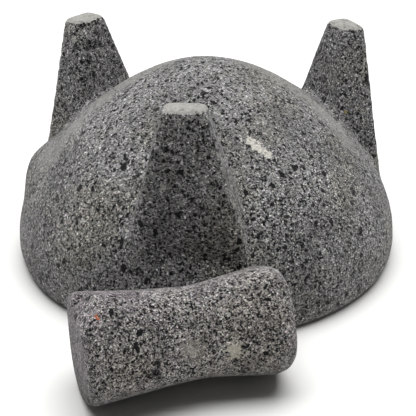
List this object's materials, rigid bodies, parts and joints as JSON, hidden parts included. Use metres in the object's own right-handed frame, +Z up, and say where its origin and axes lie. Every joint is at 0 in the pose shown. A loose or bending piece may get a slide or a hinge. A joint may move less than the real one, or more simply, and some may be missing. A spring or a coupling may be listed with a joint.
{
  "type": "molcajete",
  "caption": "Round stone mortar on three stubby legs, turned rim down, with its loose waisted hand stone lying on the ground in front.",
  "frame": {"origin": "centre of the rim circle, on the ground that the upturned mortar stands on", "axes": "+Z up, from the rim face to the feet, because the mortar is kept rim down as it is shown; the front leg is at -Y and the tejolote lies in front of it; +X to the right"},
  "size_m": [0.203, 0.2737, 0.114],
  "materials": {
    "mortar_stone": "fine-dressed, speckled grey",
    "tejolote_stone": "fine-dressed, speckled warm grey"
  },
  "bodies": {
    "mortar": {"mortar": "mortar_stone"},
    "tejolote": {"tejolote": "tejolote_stone"}
  },
  "joints": [
    {"name": "tejolote_lift", "type": "slide", "parent": "mortar", "child": "tejolote", "axis": [0, 0, 1], "range_m": [0, 0.2]}
  ]
}
